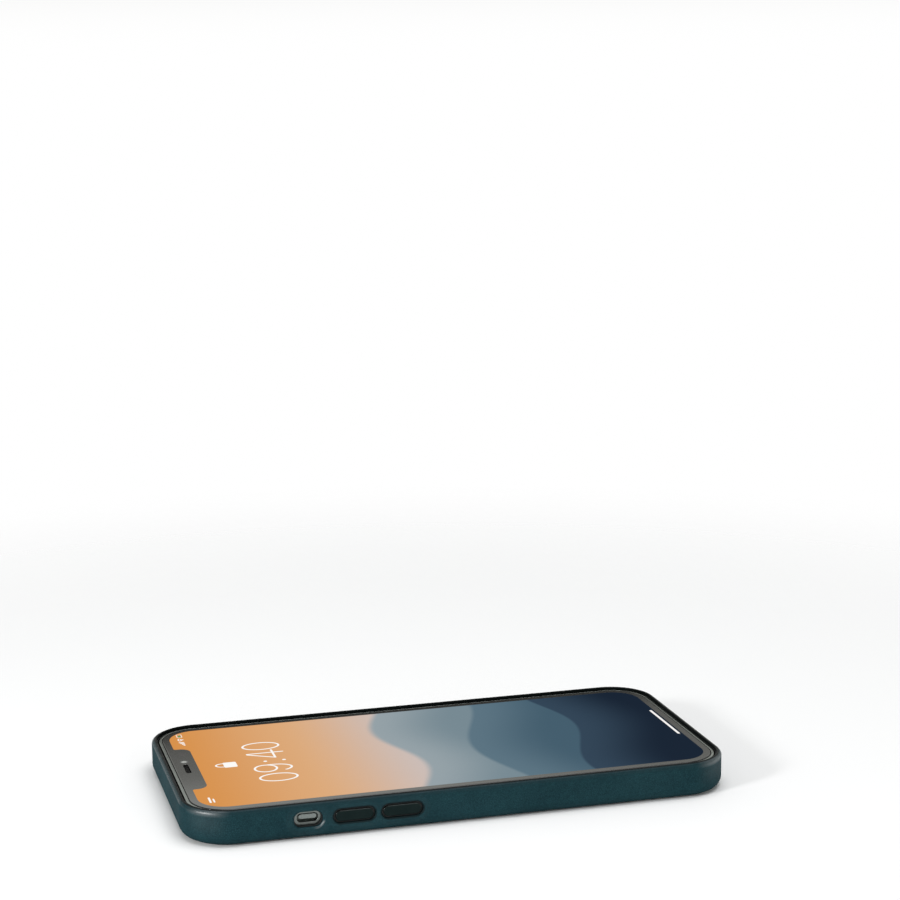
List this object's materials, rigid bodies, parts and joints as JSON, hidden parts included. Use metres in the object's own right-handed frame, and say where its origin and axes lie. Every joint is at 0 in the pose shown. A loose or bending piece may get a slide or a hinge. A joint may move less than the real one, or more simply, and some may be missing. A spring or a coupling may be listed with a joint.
{
  "type": "smartphone in a leather case",
  "caption": "Flat-sided smartphone with a lit touchscreen, lying on its back in a fitted leather case with its own pressable key caps; keys, switch, haptic weight and lens barrels move.",
  "frame": {"origin": "centre of the footprint, on the surface that the case's back rests on", "axes": "+Y towards the phone's top edge, +X towards its right side as the screen is read, +Z out of the screen"},
  "size_m": [0.075, 0.1502, 0.0096],
  "materials": {
    "leather": "dyed smooth-grain leather, satin",
    "shell_plastic": "moulded, matte",
    "microfibre": "short-nap microfibre, matte",
    "magnet": "nickel-plated magnet, satin",
    "dark_metal": "dark anodised, satin",
    "silver_metal": "satin anodised, fine brushed",
    "antenna_plastic": "filled polymer, matte",
    "front_glass": "polished, black mask round a clear window",
    "rear_glass": "coloured from behind, polished",
    "display": null,
    "black_plastic": "moulded, matte",
    "seal": "adhesive foam, matte",
    "steel": "stamped sheet, satin",
    "aluminium": "machined, satin",
    "circuit_board": "solder mask, satin",
    "flex_circuit": "polyimide film, satin",
    "battery_film": "printed foil pouch, satin",
    "copper": "wound copper wire, satin",
    "ferrite": "sintered sheet, matte",
    "lens_glass": "coated lens, polished",
    "flash_lens": "ribbed clear lens over a light source",
    "tungsten": "sintered weight, satin"
  },
  "bodies": {
    "case": {"case_leather": "leather", "case_shell": "shell_plastic", "case_lining": "microfibre", "case_magnet_ring": "magnet", "case_align_magnet": "magnet", "case_camera_trim": "dark_metal"},
    "phone": {"magnet_ring": "magnet", "align_magnet": "magnet", "earpiece_mesh": "dark_metal", "mid_frame": "silver_metal", "sim_tray": "silver_metal", "lens_ring_wide": "silver_metal", "lens_ring_ultrawide": "silver_metal", "antenna_break_left_top": "antenna_plastic", "antenna_break_right_top": "antenna_plastic", "antenna_break_left_bottom": "antenna_plastic", "antenna_break_right_bottom": "antenna_plastic", "front_glass": "front_glass", "rear_glass": "rear_glass", "camera_plateau": "rear_glass", "display_panel": "display", "mute_switch_body": "black_plastic", "port_tongue": "black_plastic", "front_camera": "black_plastic", "infrared_camera": "black_plastic", "earpiece_speaker": "black_plastic", "speaker_module": "black_plastic", "display_gasket": "seal", "display_backplate": "steel", "sim_reader": "steel", "charging_port": "steel", "bottom_screw_left": "steel", "bottom_screw_right": "steel", "haptic_housing": "steel", "haptic_cover": "steel", "mid_plate": "aluminium", "processor_shield": "aluminium", "radio_shield": "aluminium", "rear_camera_housing": "aluminium", "face_projector": "aluminium", "logic_board": "circuit_board", "volume_flex": "flex_circuit", "power_flex": "flex_circuit", "dock_flex": "flex_circuit", "battery": "battery_film", "charging_coil": "copper", "ferrite_sheet": "ferrite", "lens_glass_wide": "lens_glass", "lens_glass_ultrawide": "lens_glass", "flash_led": "flash_lens"},
    "case_volume_up_key": {"case_volume_up_cap": "dark_metal"},
    "case_volume_down_key": {"case_volume_down_cap": "dark_metal"},
    "case_power_key": {"case_power_cap": "dark_metal"},
    "volume_up_key": {"volume_up_button": "silver_metal"},
    "volume_down_key": {"volume_down_button": "silver_metal"},
    "side_key": {"side_button": "silver_metal"},
    "ring_switch": {"mute_switch": "silver_metal"},
    "haptic_weight": {"haptic_mass": "tungsten"},
    "focus_wide": {"lens_barrel_wide": "black_plastic"},
    "focus_ultrawide": {"lens_barrel_ultrawide": "black_plastic"}
  },
  "joints": [
    {"name": "phone_lift", "type": "slide", "parent": "case", "child": "phone", "axis": [0, 0, 1], "range_m": [0, 0.02]},
    {"name": "volume_up_press", "type": "slide", "parent": "phone", "child": "volume_up_key", "axis": [1, 0, 0], "range_m": [0, 0.0003], "stiffness_N_per_m": 3000},
    {"name": "volume_down_press", "type": "slide", "parent": "phone", "child": "volume_down_key", "axis": [1, 0, 0], "range_m": [0, 0.0003], "stiffness_N_per_m": 3000},
    {"name": "side_key_press", "type": "slide", "parent": "phone", "child": "side_key", "axis": [-1, 0, 0], "range_m": [0, 0.0003], "stiffness_N_per_m": 3000},
    {"name": "case_volume_up_press", "type": "slide", "parent": "case", "child": "case_volume_up_key", "axis": [1, 0, 0], "range_m": [0, 0.0003], "stiffness_N_per_m": 1000},
    {"name": "case_volume_down_press", "type": "slide", "parent": "case", "child": "case_volume_down_key", "axis": [1, 0, 0], "range_m": [0, 0.0003], "stiffness_N_per_m": 1000},
    {"name": "case_power_press", "type": "slide", "parent": "case", "child": "case_power_key", "axis": [-1, 0, 0], "range_m": [0, 0.0003], "stiffness_N_per_m": 1000},
    {"name": "ring_switch_slide", "type": "slide", "parent": "phone", "child": "ring_switch", "axis": [0, 0, -1], "range_m": [0, 0.0008]},
    {"name": "haptic_shake", "type": "slide", "parent": "phone", "child": "haptic_weight", "axis": [1, 0, 0], "range_m": [-0.0005, 0.0005], "stiffness_N_per_m": 1500},
    {"name": "focus_wide_travel", "type": "slide", "parent": "phone", "child": "focus_wide", "axis": [0, 0, -1], "range_m": [0, 0.0003], "stiffness_N_per_m": 200},
    {"name": "focus_ultrawide_travel", "type": "slide", "parent": "phone", "child": "focus_ultrawide", "axis": [0, 0, -1], "range_m": [0, 0.0003], "stiffness_N_per_m": 200}
  ],
  "couplings": [
    {"joint": "case_volume_up_press", "follows": "volume_up_press", "ratio": 1},
    {"joint": "case_volume_down_press", "follows": "volume_down_press", "ratio": 1},
    {"joint": "case_power_press", "follows": "side_key_press", "ratio": 1}
  ]
}
